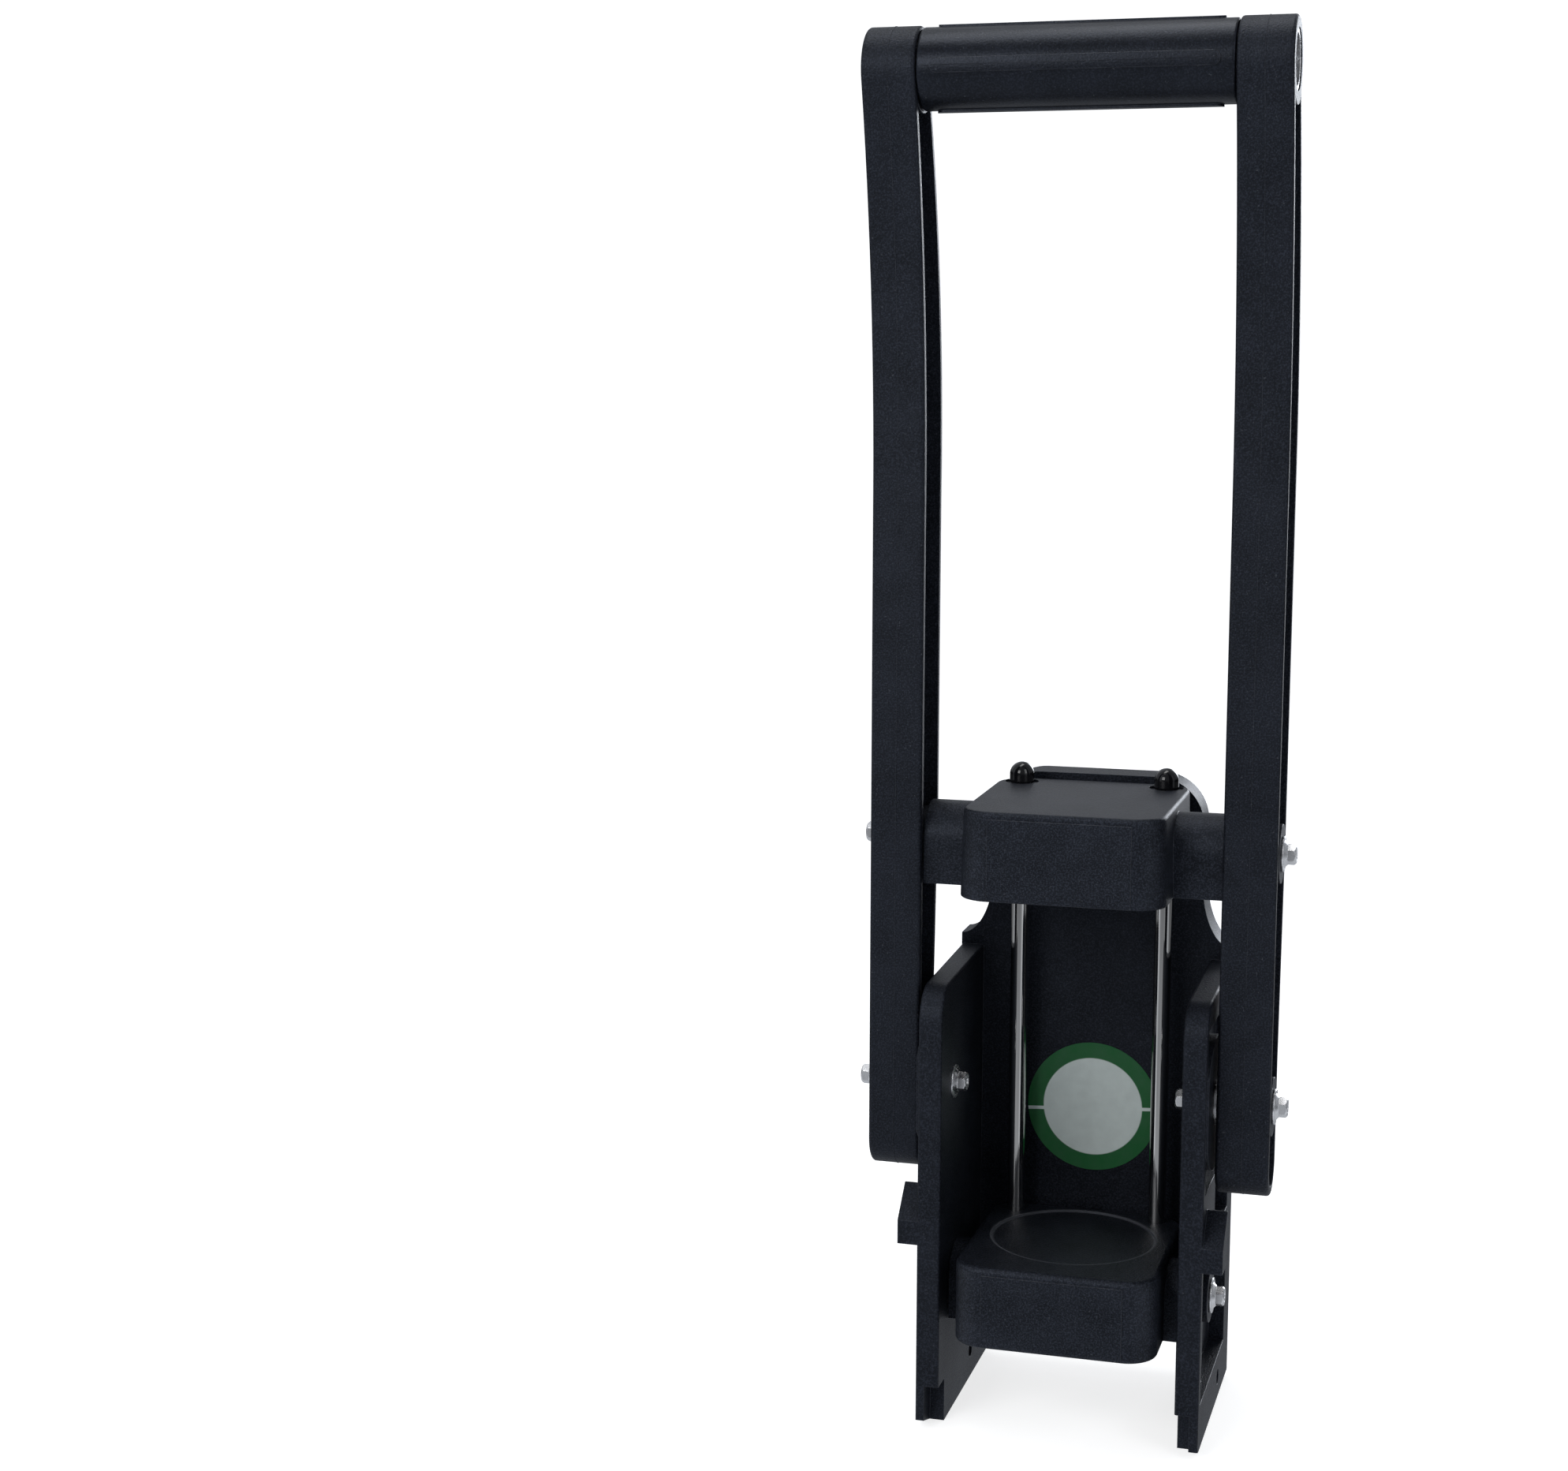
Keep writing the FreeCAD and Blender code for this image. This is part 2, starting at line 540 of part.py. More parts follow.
def slot_plan(x, y, z0, z1, width, length):
    """Upright prism with round ends, long fore and aft."""
    r = width / 2
    h = length / 2 - r
    wire = Part.Wire([
        Part.makeLine(V(x + r, y - h, z0), V(x + r, y + h, z0)),
        Part.Arc(V(x + r, y + h, z0), V(x, y + h + r, z0), V(x - r, y + h, z0)).toShape(),
        Part.makeLine(V(x - r, y + h, z0), V(x - r, y - h, z0)),
        Part.Arc(V(x - r, y - h, z0), V(x, y - h - r, z0), V(x + r, y - h, z0)).toShape(),
    ])
    return Part.Face(wire).extrude(V(0, 0, z1 - z0))


def upper_block():
    half = BLOCK_W / 2
    y0 = BLOCK_FRONT + BLOCK_FACE
    y1 = BLOCK_REAR
    d = UPPER_DRAFT
    low = rounded_plan(-half, half, y0, y1, UPPER_BASE, BLOCK_R)
    high = rounded_plan(-half + d, half - d, y0, y1, UPPER_TOP, BLOCK_R)
    body = Part.makeLoft([low, high], True)
    body = fillet(body, UPPER_EDGE_R, lambda p, e: p.z > UPPER_TOP - 0.01)
    body = fillet(body, UPPER_EDGE_R / 2, lambda p, e: p.z < UPPER_BASE + 0.01)
    end = ARM_IN - SIDE
    body = body.fuse([arch_x(end, UPPER_Y, UPPER_Z, TRUNNION_D, TRUNNION_DOWN),
                      front_face(UPPER_BASE + BLOCK_FACE, UPPER_TOP - BLOCK_FACE_TOP)])
    # ribbed inside, closed by the top and by the pressing face
    z0 = UPPER_BASE + PAD_SKIN
    z1 = UPPER_TOP - BLOCK_WALL
    w = BLOCK_WALL + d
    slot_w = ROD_D + 2 * SIDE
    slot_l = ROD_D + 2 * (ROD_SWAY + SIDE)
    keep = ribs(z0 - 1, z1 + 1, (0.0,), (BLOCK_MID - BLOCK_DEPTH / 5,))
    keep.append(rod_x(-half, half, UPPER_Y, UPPER_Z, BARREL_D + 3 * BLOCK_WALL))
    for s in (-1, 1):
        keep.append(slot_plan(s * ROD_DX / 2, ROD_Y, z0 - 1, z1 + 1, slot_w + 2 * SLOT_WALL,
                              slot_l + 2 * SLOT_WALL))
    body = body.cut(cavity(-half + w, half - w, y0 + w, y1 - w, z0, z1, keep))
    for s in (-1, 1):
        x = s * ROD_DX / 2
        body = body.cut(slot_plan(x, ROD_Y, UPPER_BASE - 1, UPPER_TOP + 1, slot_w, slot_l))
        body = body.cut(rod_z(UPPER_TOP - RECESS_DEPTH, UPPER_TOP + 1, x, ROD_Y, RECESS_D))
        body = body.cut(rod_x(min(s * end, s * (end - BARREL_IN)), max(s * end, s *
                        (end - BARREL_IN)), UPPER_Y, UPPER_Z, FIXED_D))
    return body.removeSplitter()


def lower_block():
    half = BLOCK_W / 2
    y0 = BLOCK_FRONT + BLOCK_FACE
    y1 = BLOCK_REAR
    plan = Part.Face(rounded_plan(-half, half, y0, y1, LOWER_BASE, BLOCK_R))
    body = plan.extrude(V(0, 0, LOWER_TOP - LOWER_BASE))
    body = fillet(body, BLOCK_EDGE_R, lambda p, e: p.z > LOWER_TOP - 0.01)
    body = fillet(body, BLOCK_FOOT_R, lambda p, e: p.z < LOWER_BASE + 0.01)
    end = PLATE_IN - SIDE
    body = body.fuse([arch_x(end, LOW_Y, LOW_Z, LOWER_BOSS_D, LOWER_BOSS_DOWN),
                      front_face(LOWER_BASE + BLOCK_FOOT_R, LOWER_TOP - BLOCK_FACE_TOP)])
    # open below, with ribs, rod towers and the pivot boss inside
    z0 = LOWER_BASE - 2
    z1 = LOWER_TOP - BLOCK_SKIN
    w = BLOCK_WALL
    keep = ribs(z0, z1 + 1, (0.0,), (BLOCK_MID - BLOCK_DEPTH / 4,))
    keep.append(rod_x(-half, half, LOW_Y, LOW_Z, BARREL_D + 3 * BLOCK_WALL))
    for s in (-1, 1):
        keep.append(rod_z(z0 - 1, z1 + 1, s * ROD_DX / 2, ROD_Y, ROD_TOWER_D))
    space = cavity(-half + w, half - w, y0 + w, y1 - w, z0, z1, keep)
    body = body.cut(space)
    body = body.cut(rod_z(LOWER_TOP - SEAT_DEPTH, LOWER_TOP + 1, 0, SEAT_Y, SEAT_D))
    for s in (-1, 1):
        body = body.cut(rod_z(LOWER_TOP - ROD_SOCKET, LOWER_TOP + 1, s * ROD_DX / 2, ROD_Y,
                              ROD_D + 2 * FIT))
        body = body.cut(rod_x(min(s * end, s * (end - BARREL_IN)), max(s * end, s *
                        (end - BARREL_IN)), LOW_Y, LOW_Z, FIXED_D))
    return body.removeSplitter()


def guide_rod():
    x = ROD_DX / 2
    body = rod_z(LOWER_TOP - ROD_SOCKET, ROD_TOP, x, ROD_Y, ROD_D)
    return fillet(body, ROD_D / 12, lambda p, e: e.Length > ROD_D * 3)


def rod_cap():
    x = ROD_DX / 2
    r = CAP_D / 2
    z = CAP_BASE + CAP_CYL
    body = rod_z(CAP_BASE, z, x, ROD_Y, CAP_D)
    dome = Part.makeSphere(r, V(x, ROD_Y, z)).common(
        box(x - r - 1, x + r + 1, ROD_Y - r - 1, ROD_Y + r + 1, z, z + r + 1))
    body = body.fuse(dome).removeSplitter()
    return body.cut(rod_z(CAP_BASE - 1, ROD_TOP + FIT, x, ROD_Y, ROD_D + 2 * FIT))


def label_disc():
    return rod_y(PANEL_Y - DISC_T, PANEL_Y, 0, DISC_Z, DISC_D)


# --- every piece ------------------------------------------------------------------------
os.makedirs("parts", exist_ok=True)
write("frame", frame())
write("label_disc", label_disc())
write_pair("main_bolt", bolt(ARM_SEAT, MAIN_Y, MAIN_Z))
write_pair("inner_bolt", turned_inwards(bolt(PLATE_IN, MAIN_Y, MAIN_Z), PLATE_IN))
write_pair("main_barrel", main_barrel())
write_pair("arm", arm())
write("grip_tube", grip_tube())
write("grip_sleeve", grip_sleeve())
write("upper_block", upper_block())
write_pair("trunnion_bolt", bolt(ARM_SEAT, UPPER_Y, UPPER_Z))
write_pair("trunnion_barrel", barrel(ARM_IN - SIDE - BARREL_IN, ARM_SEAT, UPPER_Y, UPPER_Z))
write("lower_block", lower_block())
write_pair("lower_bolt", bolt(PLATE_SEAT, LOW_Y, LOW_Z))
write_pair("lower_barrel", barrel(PLATE_IN - SIDE - BARREL_IN, PLATE_SEAT, LOW_Y, LOW_Z))
write_pair("guide_rod", guide_rod())
write_pair("rod_cap", rod_cap())
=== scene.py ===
import json
import math
import bmesh
import bpy
from mathutils import Euler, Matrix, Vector


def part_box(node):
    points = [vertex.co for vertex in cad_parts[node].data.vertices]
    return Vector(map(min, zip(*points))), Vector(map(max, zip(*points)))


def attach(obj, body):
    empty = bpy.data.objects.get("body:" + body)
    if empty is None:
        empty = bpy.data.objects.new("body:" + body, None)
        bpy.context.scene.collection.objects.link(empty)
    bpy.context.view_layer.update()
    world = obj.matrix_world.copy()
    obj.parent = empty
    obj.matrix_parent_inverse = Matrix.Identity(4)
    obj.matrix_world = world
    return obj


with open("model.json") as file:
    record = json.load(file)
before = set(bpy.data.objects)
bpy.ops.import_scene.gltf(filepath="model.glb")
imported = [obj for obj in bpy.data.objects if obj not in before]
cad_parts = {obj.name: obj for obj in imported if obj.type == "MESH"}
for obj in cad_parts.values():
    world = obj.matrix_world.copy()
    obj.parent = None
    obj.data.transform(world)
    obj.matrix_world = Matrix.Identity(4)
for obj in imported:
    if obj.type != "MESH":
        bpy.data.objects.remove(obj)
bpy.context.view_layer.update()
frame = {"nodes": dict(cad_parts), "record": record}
nodes = frame["nodes"]
slot_of = {s["node"]: s["material_slot"] for s in frame["record"]["subparts"]}


def rgb(r, g, b):
    return (r, g, b, 1.0)


# --- camera: place, turn and lens of the photograph ---------------------------------------
CAMERA_AT = (0.20253, -1.21655, 0.33386)
CAMERA_YAW = 16.468
CAMERA_PITCH = 8.460
CAMERA_ROLL = 0.091
CAMERA_LENS = 60.76
SENSOR = 36.0

# --- places on the object, metres ----------------------------------------------------------
FLOOR_Z = -0.154         # soles of the feet
SEAM_W = 0.00050         # mould seams, width and height
SEAM_H = 0.00020
SEAM_STEP = 0.0004       # least distance between points of a seam
PAD_OUT = 0.0009         # raised pads of the grip
PAD_END = 0.0060         # from their ends to the grip's
PAD_SLOPE = 0.0006       # run of a grip seam down a pad's end
GRIP_ROUND = 0.0012      # rounded ends of the grip
SEAT_Y = -0.0633         # can seat: its middle, its rim and the top of the lower block
SEAT_R = 0.0372
SEAT_Z = -0.0705
DISC_RING = 0.757        # inner edge of the disc's green ring, as a share of its radius
DISC_TURN = 0.063        # the disc sits a little turned: slope of its bars
DISC_BAR_DOWN = 0.0010   # and they run this far below its middle
DISC_BAR = 0.0008        # half their height

# --- colours of the black mouldings ---------------------------------------------------------
BLACK = rgb(0.0010, 0.0013, 0.0022)
BLACK_LIGHT = rgb(0.0200, 0.0232, 0.0328)
BLOCK_LIGHT = rgb(0.0290, 0.0335, 0.0460)
GRIP_LIGHT = rgb(0.0120, 0.0142, 0.0212)
FLECK = rgb(0.075, 0.080, 0.090)
# pale colour of rubbed edges, which is also a painted highlight along the edges and on the can
# seat's rim
RUBBED_AND_HIGHLIGHT = rgb(0.100, 0.105, 0.120)


# --- node helpers ---------------------------------------------------------------------------
class Tree:
    """Short ways to add and join the nodes of a material or of the world."""

    def __init__(self, owner, shader, coord):
        owner.use_nodes = True
        self.owner = owner
        self.nodes = owner.node_tree.nodes
        self.links = owner.node_tree.links
        self.shader = self.nodes[shader]
        self.coord = self.add("ShaderNodeTexCoord").outputs[coord]

    def add(self, kind, **values):
        node = self.nodes.new(kind)
        for key, value in values.items():
            if key in node.inputs.keys():
                node.inputs[key].default_value = value
            else:
                setattr(node, key, value)
        return node

    def join(self, out, into):
        self.links.new(out, into)

    def feed(self, value, socket):
        """Sets a socket to a constant or joins it to an output."""
        if isinstance(value, (int, float, tuple)):
            socket.default_value = value
        else:
            self.join(value, socket)

    def set(self, **values):
        for key, value in values.items():
            self.feed(value, self.shader.inputs[key.replace("_", " ")])

    def axes(self, vector):
        node = self.add("ShaderNodeSeparateXYZ")
        self.join(vector, node.inputs[0])
        return node.outputs

    def noise(self, size, detail=2.0, rough=0.5, coord=None):
        """Noise whose lumps are about size metres across."""
        node = self.add("ShaderNodeTexNoise", Scale=1.0 / size, Detail=detail, Roughness=rough)
        self.join(coord or self.coord, node.inputs["Vector"])
        return node.outputs["Fac"]

    def cells(self, size, smooth):
        node = self.add("ShaderNodeTexVoronoi", feature="SMOOTH_F1", Scale=1.0 / size,
                        Smoothness=smooth)
        self.join(self.coord, node.inputs["Vector"])
        return node.outputs["Distance"]

    def math(self, operation, a, b=None):
        node = self.add("ShaderNodeMath", operation=operation)
        self.feed(a, node.inputs[0])
        if b is not None:
            self.feed(b, node.inputs[1])
        return node.outputs[0]

    def plus(self, a, b):
        return self.math("ADD", a, b)

    def minus(self, a, b):
        return self.math("SUBTRACT", a, b)

    def times(self, a, b):
        return self.math("MULTIPLY", a, b)

    def size_of(self, value):
        return self.math("ABSOLUTE", value)

    def distance(self, a, b):
        """Length of the vector whose two parts are a and b."""
        return self.math("POWER", self.plus(self.times(a, a), self.times(b, b)), 0.5)

    def span(self, value, a, b, c, d):
        """Maps a..b to c..d, held at both ends."""
        node = self.add("ShaderNodeMapRange", clamp=True)
        for i, v in enumerate((a, b, c, d)):
            node.inputs[i + 1].default_value = v
        self.join(value, node.inputs[0])
        return node.outputs[0]

    def spread(self, value, c, d):
        """Maps the middle of a noise to c..d."""
        return self.span(value, 0.3, 0.7, c, d)

    def blend(self, factor, a, b):
        """Colour a where factor is 0, b where it is 1."""
        node = self.add("ShaderNodeMix", data_type="RGBA")
        for value, socket in ((factor, node.inputs[0]), (a, node.inputs[6]),
                              (b, node.inputs[7])):
            self.feed(value, socket)
        return node.outputs[2]

    def bump(self, height, distance, strength=1.0, under=None):
        node = self.add("ShaderNodeBump", Distance=distance, Strength=strength)
        self.join(height, node.inputs["Height"])
        if under is not None:
            self.join(under, node.inputs["Normal"])
        return node.outputs["Normal"]


def material(name):
    return Tree(bpy.data.materials.new(name), "Principled BSDF", "Object")


# --- materials --------------------------------------------------------------------------------
def softened(t, radius):
    """Normal of the surface with its edges rounded, and a mask that is 1 along the edges."""
    edge = t.add("ShaderNodeBevel", samples=6, Radius=radius)
    face = t.add("ShaderNodeNewGeometry").outputs["Normal"]
    dot = t.add("ShaderNodeVectorMath", operation="DOT_PRODUCT")
    t.join(edge.outputs[0], dot.inputs[0])
    t.join(face, dot.inputs[1])
    return edge.outputs[0], t.span(dot.outputs["Value"], 0.90, 0.995, 1.0, 0.0)


def seat_rim_highlight(t):
    """Mask of the rim of the can seat, which the cans rub; the ring it marks is painted light, a
    painted highlight of the rim's edge.
    """
    x, y, z = t.axes(t.coord)
    off = t.size_of(t.minus(t.distance(x, t.minus(y, SEAT_Y)), SEAT_R))
    height = t.size_of(t.minus(z, SEAT_Z))
    return t.times(t.span(off, 0.0006, 0.0012, 1.0, 0.0),
                   t.span(height, 0.0012, 0.0016, 1.0, 0.0))


def pebbled_plastic(name, light, rough, grain, depth, edge_width):
    """Moulded glass-filled plastic: pebbled skin, mottled, pale flecks, edges painted lighter as
    rubbed wear and as a painted highlight.
    """
    t = material(name)
    normal, edge = softened(t, edge_width)
    pebble = t.cells(grain, 0.35)
    fine = t.noise(grain * 0.5, 3.0, 0.65)
    mottle = t.noise(0.020, 4.0, 0.6)
    flow = t.noise(0.10)
    skin = t.plus(t.times(pebble, 0.7), t.times(fine, 0.6))
    speck = t.span(t.noise(grain * 0.8, 2.0, 0.6), 0.46, 0.64, 0.0, 1.0)
    cloud = t.span(mottle, 0.35, 0.65, 0.0, 1.0)
    base = t.blend(t.plus(t.times(cloud, 0.25), t.times(speck, 0.75)), BLACK, light)
    fleck = t.span(t.noise(grain * 1.2, 1.0, 0.4), 0.72, 0.80, 0.0, 0.5)
    base = t.blend(fleck, base, FLECK)
    # edges painted lighter: rubbed wear and a painted highlight along the edge
    edge_wear_and_highlight = t.times(edge, t.span(t.noise(0.006, 3.0, 0.6), 0.35, 0.65, 0.35, 1.0))
    base = t.blend(t.times(edge_wear_and_highlight, 0.7), base, RUBBED_AND_HIGHLIGHT)
    # the can seat's rim is painted light: rubbed wear and a painted highlight of its edge
    if name == "block_black":
        base = t.blend(t.times(seat_rim_highlight(t), 0.8), base, RUBBED_AND_HIGHLIGHT)
    t.set(Base_Color=base)
    skin_rough = t.plus(t.span(flow, 0.35, 0.65, rough - 0.03, rough + 0.03),
                        t.spread(fine, -0.05, 0.05))
    t.set(Roughness=t.minus(skin_rough, t.times(edge, 0.20)))
    wave = t.bump(mottle, depth * 1.2, 0.3, normal)
    t.set(Normal=t.bump(skin, depth, 0.8, wave))
    t.set(Specular_IOR_Level=0.30)
    t.set(Specular_Tint=rgb(0.74, 0.82, 1.0))
    return t.owner


def plated_steel(name, light):
    """Zinc plate or drawn steel: cloudy, with its edges painted near white as a painted
    highlight.
    """
    t = material(name)
    normal, edge = softened(t, 0.0004)
    dark = light * 0.90
    t.set(Metallic=1.0)
    base = t.blend(t.spread(t.noise(0.006, 3.0), 0.0, 1.0), rgb(dark, dark, dark * 1.02),
                   rgb(light, light, light * 1.01))
    # edges painted near white: a painted highlight
    t.set(Base_Color=t.blend(edge, base, rgb(0.92, 0.92, 0.93)))
    t.set(Roughness=t.spread(t.noise(0.003, 3.0), 0.22, 0.30))
    t.set(Normal=t.bump(t.noise(0.0016), 0.00001, 0.3, normal))
    return t.owner


def ground_rod(name):
    """Polished stainless rod: long rubbed streaks where the block slides, faint haze."""
    t = material(name)
    streak = t.add("ShaderNodeMapping", Scale=(1.0, 1.0, 0.02))
    t.join(t.coord, streak.inputs["Vector"])
    rub = t.noise(0.0012, 3.0, 0.5, streak.outputs["Vector"])
    haze = t.noise(0.02, 3.0)
    t.set(Metallic=1.0)
    t.set(Base_Color=t.blend(t.span(rub, 0.35, 0.65, 0.0, 1.0), rgb(0.56, 0.55, 0.54),
                             rgb(0.66, 0.65, 0.635)))
    t.set(Roughness=t.plus(t.spread(rub, 0.05, 0.09), t.spread(haze, 0.0, 0.03)))
    t.set(Normal=t.bump(rub, 0.00001, 0.5))
    return t.owner


def gloss_cap(name):
    t = material(name)
    t.set(Base_Color=t.blend(t.noise(0.01), rgb(0.004, 0.004, 0.005), rgb(0.009, 0.009, 0.011)))
    t.set(Roughness=t.spread(t.noise(0.004, 3.0), 0.05, 0.10))
    t.set(Specular_IOR_Level=0.5)
    return t.owner


def disc_print(name):
    """Round vinyl disc: green ring split by two short bars, pale middle left bare."""
    t = material(name)
    low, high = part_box("label_disc")
    radius = (high[0] - low[0]) / 2
    shift = t.add("ShaderNodeVectorMath", operation="SUBTRACT")
    t.join(t.coord, shift.inputs[0])
    shift.inputs[1].default_value = tuple((a + b) / 2 for a, b in zip(low, high))
    x, y, z = t.axes(shift.outputs[0])
    edge = radius * DISC_RING
    soft = radius * 0.008
    ring = t.span(t.distance(x, z), edge - soft, edge + soft, 0.0, 1.0)
    across = t.size_of(t.plus(t.minus(z, t.times(x, DISC_TURN)), DISC_BAR_DOWN))
    bars = t.times(ring, t.span(across, DISC_BAR - 0.0001, DISC_BAR + 0.0001, 1.0, 0.0))
    colour = t.blend(t.minus(ring, bars), rgb(0.86, 0.96, 0.93), rgb(0.014, 0.150, 0.040))
    fade = t.spread(t.noise(0.006, 3.0), 0.0, 0.10)
    t.set(Base_Color=t.blend(fade, colour, rgb(0.16, 0.19, 0.19)))
    t.set(Roughness=t.spread(t.noise(0.002, 3.0), 0.34, 0.46))
    t.set(Normal=t.bump(t.noise(0.0007), 0.00003, 0.3))
    t.set(Specular_IOR_Level=0.35)
    return t.owner


materials = {
    "cap_black": gloss_cap("cap_black"),
    "zinc": plated_steel("zinc", 0.90),
    "stainless": ground_rod("stainless"),
    "tube_steel": plated_steel("tube_steel", 0.80),
    "disc_vinyl": disc_print("disc_vinyl"),
}
# pale mottle, roughness, size and depth of the pebbles, rounding of the edges
for name, *look in (("moulded_black", BLACK_LIGHT, 0.46, 0.0009, 0.00022, 0.0004),
                    ("arm_black", BLACK_LIGHT, 0.46, 0.0009, 0.00022, 0.0004),
                    ("block_black", BLOCK_LIGHT, 0.44, 0.0009, 0.00020, 0.0003),
                    ("grip_black", GRIP_LIGHT, 0.36, 0.0010, 0.00008, 0.0004)):
    materials[name] = pebbled_plastic(name, *look)

for name, obj in nodes.items():
    obj.data.materials.clear()
    obj.data.materials.append(materials[slot_of[name]])


# --- mould seams -------------------------------------------------------------------------------
def outline_at(node, x):
    """Outline of a piece where it is cut at x, all round in one sense."""
    mesh = bmesh.new()
    mesh.from_mesh(nodes[node].data)
    mesh.transform(nodes[node].matrix_world)
    bmesh.ops.remove_doubles(mesh, verts=mesh.verts, dist=1e-6)
    geometry = mesh.verts[:] + mesh.edges[:] + mesh.faces[:]
    cut = bmesh.ops.bisect_plane(mesh, geom=geometry, plane_co=(x, 0, 0), plane_no=(1, 0, 0))
    mesh.edges.index_update()
    left = {e.index: e for e in cut["geom_cut"] if isinstance(e, bmesh.types.BMEdge)}
    best, reach = [], 0.0
    while left:
        edge = left.pop(min(left))
        start, here = edge.verts
        loop = [here.co.copy()]
        while here is not start:
            edge = next((e for e in here.link_edges if e.index in left), None)
            if edge is None:
                break
            del left[edge.index]
            here = edge.other_vert(here)
            if (here.co - loop[-1]).length > SEAM_STEP:
                loop.append(here.co.copy())
        area = sum(a.y * b.z - b.y * a.z for a, b in zip(loop, loop[1:] + loop[:1]))
        if abs(area) > reach:
            best, reach = (loop[::-1] if area > 0 else loop), abs(area)
    mesh.free()
    return best


def ridge(name, points, across, closed, slot, body):
    """Low rounded ridge along points, SEAM_W wide along across."""
    count = len(points)
    profile = ((-0.5, -0.4), (-0.22, 0.75), (0.0, 1.0), (0.22, 0.75), (0.5, -0.4))
    mesh = bmesh.new()
    rows = []
    for i, point in enumerate(points):
        before = points[(i - 1) % count] if closed or i > 0 else point
        after = points[(i + 1) % count] if closed or i < count - 1 else point
        out = across.cross((after - before).normalized())
        rows.append([mesh.verts.new(point + across * SEAM_W * u + out * SEAM_H * v)
                     for u, v in profile])
    for i in range(count if closed else count - 1):
        here, there = rows[i], rows[(i + 1) % count]
        for j in range(len(profile) - 1):
            mesh.faces.new((here[j], here[j + 1], there[j + 1], there[j]))
    bmesh.ops.recalc_face_normals(mesh, faces=mesh.faces)
    obj = smooth_object(name, mesh)
    obj.data.materials.append(materials[slot])
    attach(obj, body)


def smooth_object(name, mesh):
    """Turns a bmesh into a smooth-shaded object of the scene."""
    data = bpy.data.meshes.new(name)
    mesh.to_mesh(data)
    mesh.free()
    for face in data.polygons:
        face.use_smooth = True
    obj = bpy.data.objects.new(name, data)
    bpy.context.collection.objects.link(obj)
    return obj


for side in ("left", "right"):
    low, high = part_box("arm_" + side)
    outline = outline_at("arm_" + side, (low[0] + high[0]) / 2)
    ridge("arm_parting_line_" + side, outline, Vector((1, 0, 0)), True, "arm_black", "lever")

low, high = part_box("grip_sleeve")
for side, face, sign in (("front", low[1], -1), ("rear", high[1], 1)):
    run = []
    for inset, down in ((GRIP_ROUND, PAD_OUT), (PAD_END, PAD_OUT), (PAD_END + PAD_SLOPE, 0.0)):
        run.append(Vector((high[0] - inset, face - sign * down, (low[2] + high[2]) / 2)))
    run += [Vector((low[0] + high[0] - p.x, p.y, p.z)) for p in reversed(run)]
    ridge("grip_parting_line_" + side, run[::-sign], Vector((0, 0, 1)), False, "grip_black",
          "grip")


# --- floor ------------------------------------------------------------------------------------
def sweep(name):
    """Studio floor: a disc that curves up into a round wall and closes overhead."""
    flat, curve, top, turns, steps = 3.0, 1.0, 5.0, 48, 12
    profile = [(0.0, FLOOR_Z), (flat, FLOOR_Z)]
    profile += [(flat + curve * math.sin(a), FLOOR_Z + curve - curve * math.cos(a))
                for a in (math.pi / 2 * i / steps for i in range(1, steps + 1))]
    profile += [(flat + curve, FLOOR_Z + top), (0.0, FLOOR_Z + top)]
    mesh = bmesh.new()
    rings = []
    for r, z in profile:
        spots = 1 if r == 0.0 else turns
        rings.append([mesh.verts.new((r * math.cos(math.tau * i / turns),
                                      r * math.sin(math.tau * i / turns), z))
                      for i in range(spots)])
    for low, high in zip(rings, rings[1:]):
        for i in range(turns):
            j = (i + 1) % turns
            if len(low) == 1:
                mesh.faces.new((low[0], high[i], high[j]))
            elif len(high) == 1:
                mesh.faces.new((low[i], high[0], low[j]))
            else:
                mesh.faces.new((low[i], high[i], high[j], low[j]))
    return smooth_object(name, mesh)


def floor_white(name):
    """Plain white that glows a little, so that it stays even."""
    t = material(name)
    t.set(Base_Color=t.blend(t.noise(0.4), rgb(0.80, 0.80, 0.80), rgb(0.82, 0.82, 0.82)))
    t.set(Roughness=0.9)
    t.set(Specular_IOR_Level=0.0)
    t.set(Emission_Color=rgb(1.0, 1.0, 1.0))
    t.set(Emission_Strength=0.72)
    return t.owner


floor = sweep("studio_sweep")
floor.data.materials.append(floor_white("floor"))
floor.visible_diffuse = False
floor.visible_glossy = False
floor.visible_transmission = False
floor.visible_shadow = False


# --- light --------------------------------------------------------------------------------------
def area_light(name, at, towards, size, power):
    data = bpy.data.lights.new(name, "AREA")
    data.shape = "RECTANGLE"
    data.size, data.size_y = size
    data.energy = power
    obj = bpy.data.objects.new(name, data)
    obj.location = at
    obj.rotation_euler = (Vector(towards) - Vector(at)).to_track_quat("-Z", "Y").to_euler()
    bpy.context.collection.objects.link(obj)
    obj.visible_camera = False


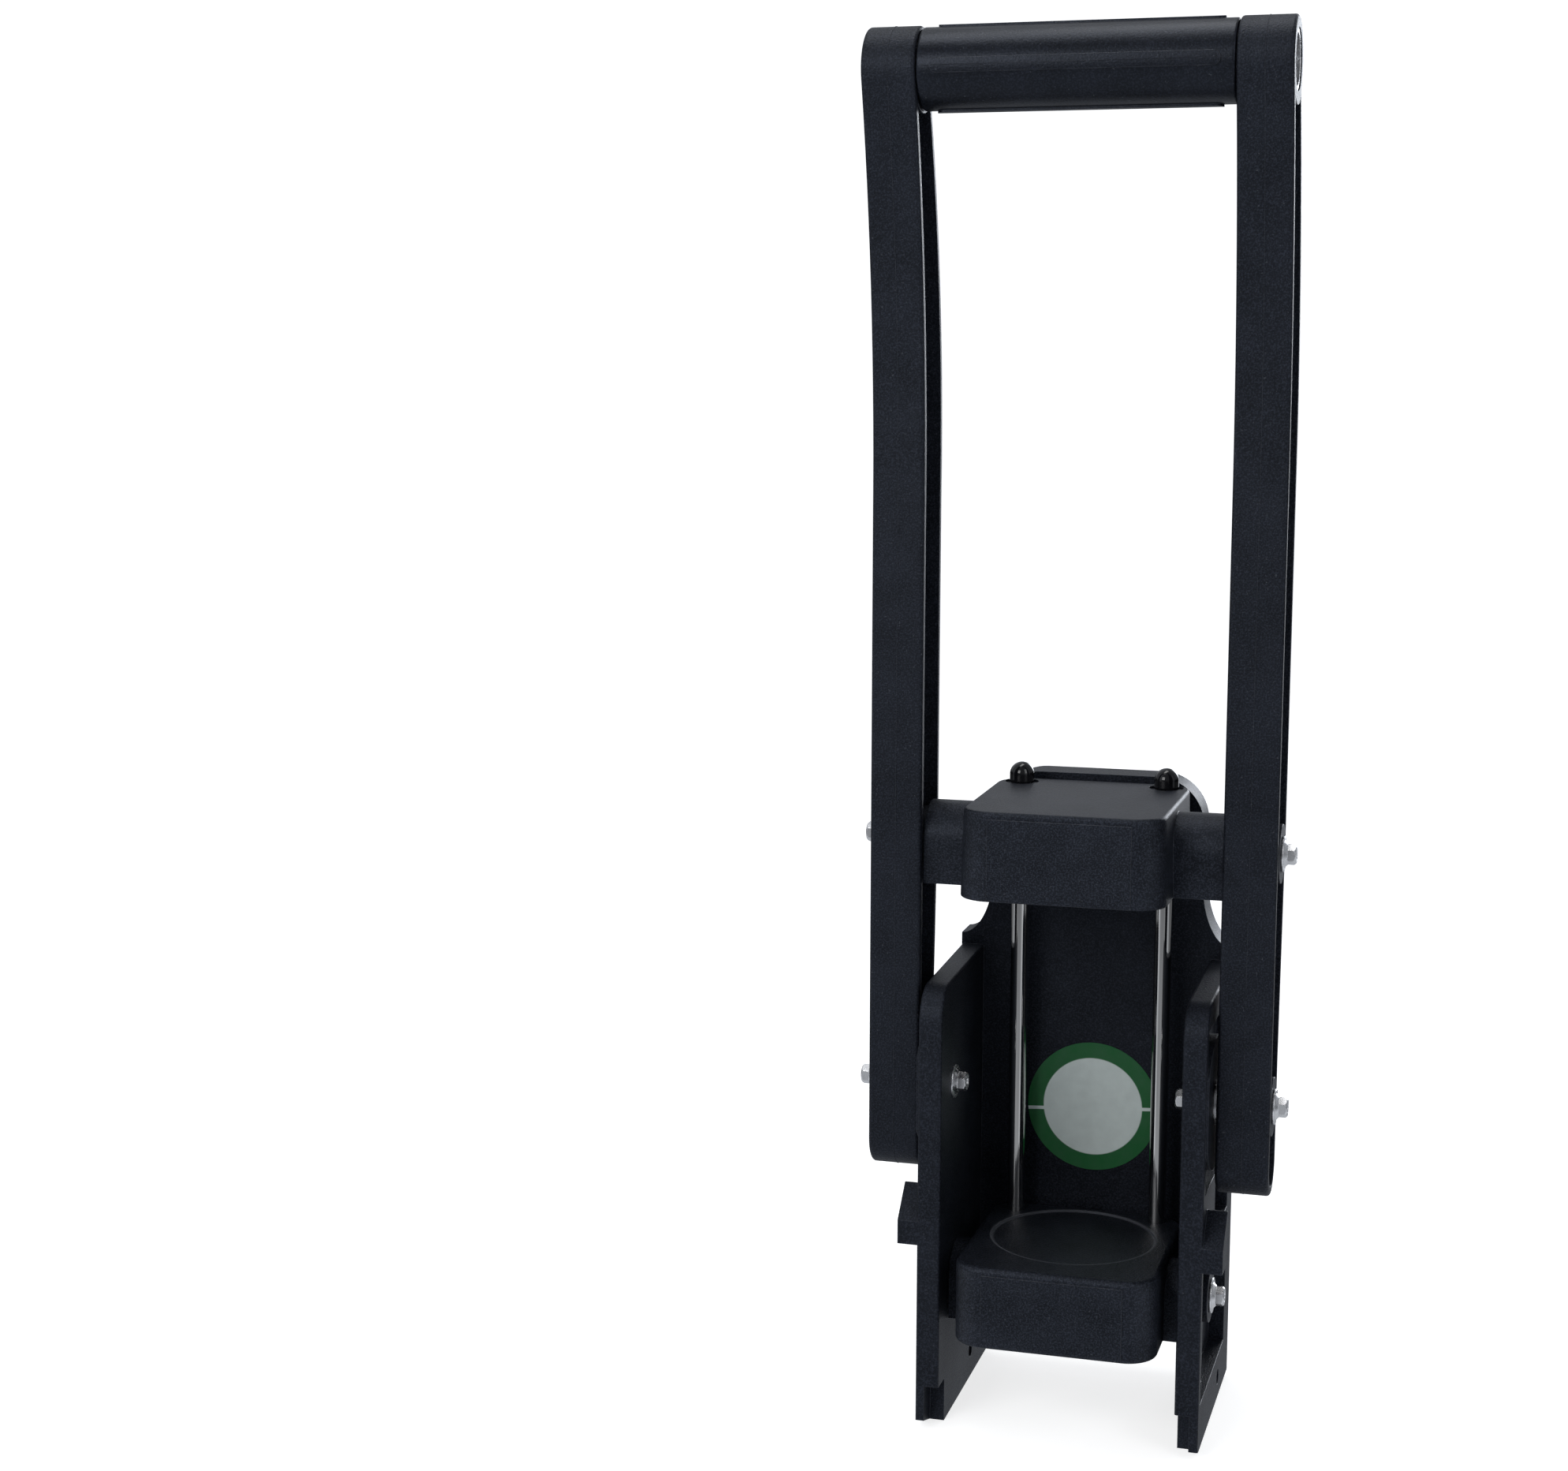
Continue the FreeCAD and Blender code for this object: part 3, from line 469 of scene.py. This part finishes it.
area_light("key", (-0.75, -1.75, 0.95), (0, -0.05, 0.10), (0.9, 0.9), 11.0)
area_light("fill", (1.2, -1.1, 1.0), (0, -0.05, 0.15), (0.6, 1.2), 4.0)
area_light("top", (-0.2, 0.05, 1.9), (0, -0.05, 0.1), (1.4, 0.5), 8.0)
area_light("rear", (-0.6, 1.9, 0.9), (0, 0.0, 0.10), (1.8, 0.9), 0.5)


def room(world):
    """Light that comes from all round: strength by the direction x, y, z, without a picture."""
    t = Tree(world, "Background", "Generated")
    x, y, z = t.axes(t.coord)
    ceiling = t.times(t.span(y, -0.5, 0.6, 0.16, 0.50), t.span(z, 0.02, 0.20, 0.04, 1.0))
    ceiling = t.times(ceiling, t.span(x, -0.30, 0.0, 1.25, 0.75))
    side_walls = t.times(t.span(y, -0.5, 0.1, 1.1, 0.0),
                         t.span(t.size_of(x), 0.45, 0.75, 0.10, 0.50))
    table = t.span(z, -0.42, -0.12, 0.48, 0.0)
    doorway = t.span(z, -0.03, 0.05, 1.5, 8.0)
    for axis, start, end, before, after in ((x, 0.03, 0.10, 0.0, 1.0), (x, 0.36, 0.46, 1.0, 0.0),
                                            (y, 0.60, 0.80, 0.0, 1.0), (z, 0.25, 0.40, 1.0, 0.0),
                                            (z, -0.22, -0.16, 0.0, 1.0)):
        doorway = t.times(doorway, t.span(axis, start, end, before, after))
    t.set(Strength=t.plus(t.plus(t.plus(ceiling, side_walls), table), doorway))
    t.set(Color=rgb(0.90, 0.94, 1.0))


world = bpy.data.worlds.new("studio")
bpy.context.scene.world = world
room(world)

# --- camera -------------------------------------------------------------------------------------
view = bpy.context.scene.view_settings
view.view_transform = "Standard"
view.look = "None"

cam = bpy.data.cameras.new("camera")
cam.sensor_width = SENSOR
cam.lens = CAMERA_LENS
cam_obj = bpy.data.objects.new("camera", cam)
cam_obj.location = CAMERA_AT
turn = Euler((math.radians(90 - CAMERA_PITCH), 0, math.radians(CAMERA_YAW)), "XYZ").to_matrix()
roll = Euler((0, 0, math.radians(CAMERA_ROLL)), "XYZ").to_matrix()
cam_obj.rotation_euler = (turn @ roll).to_euler()
bpy.context.collection.objects.link(cam_obj)
bpy.context.scene.camera = cam_obj
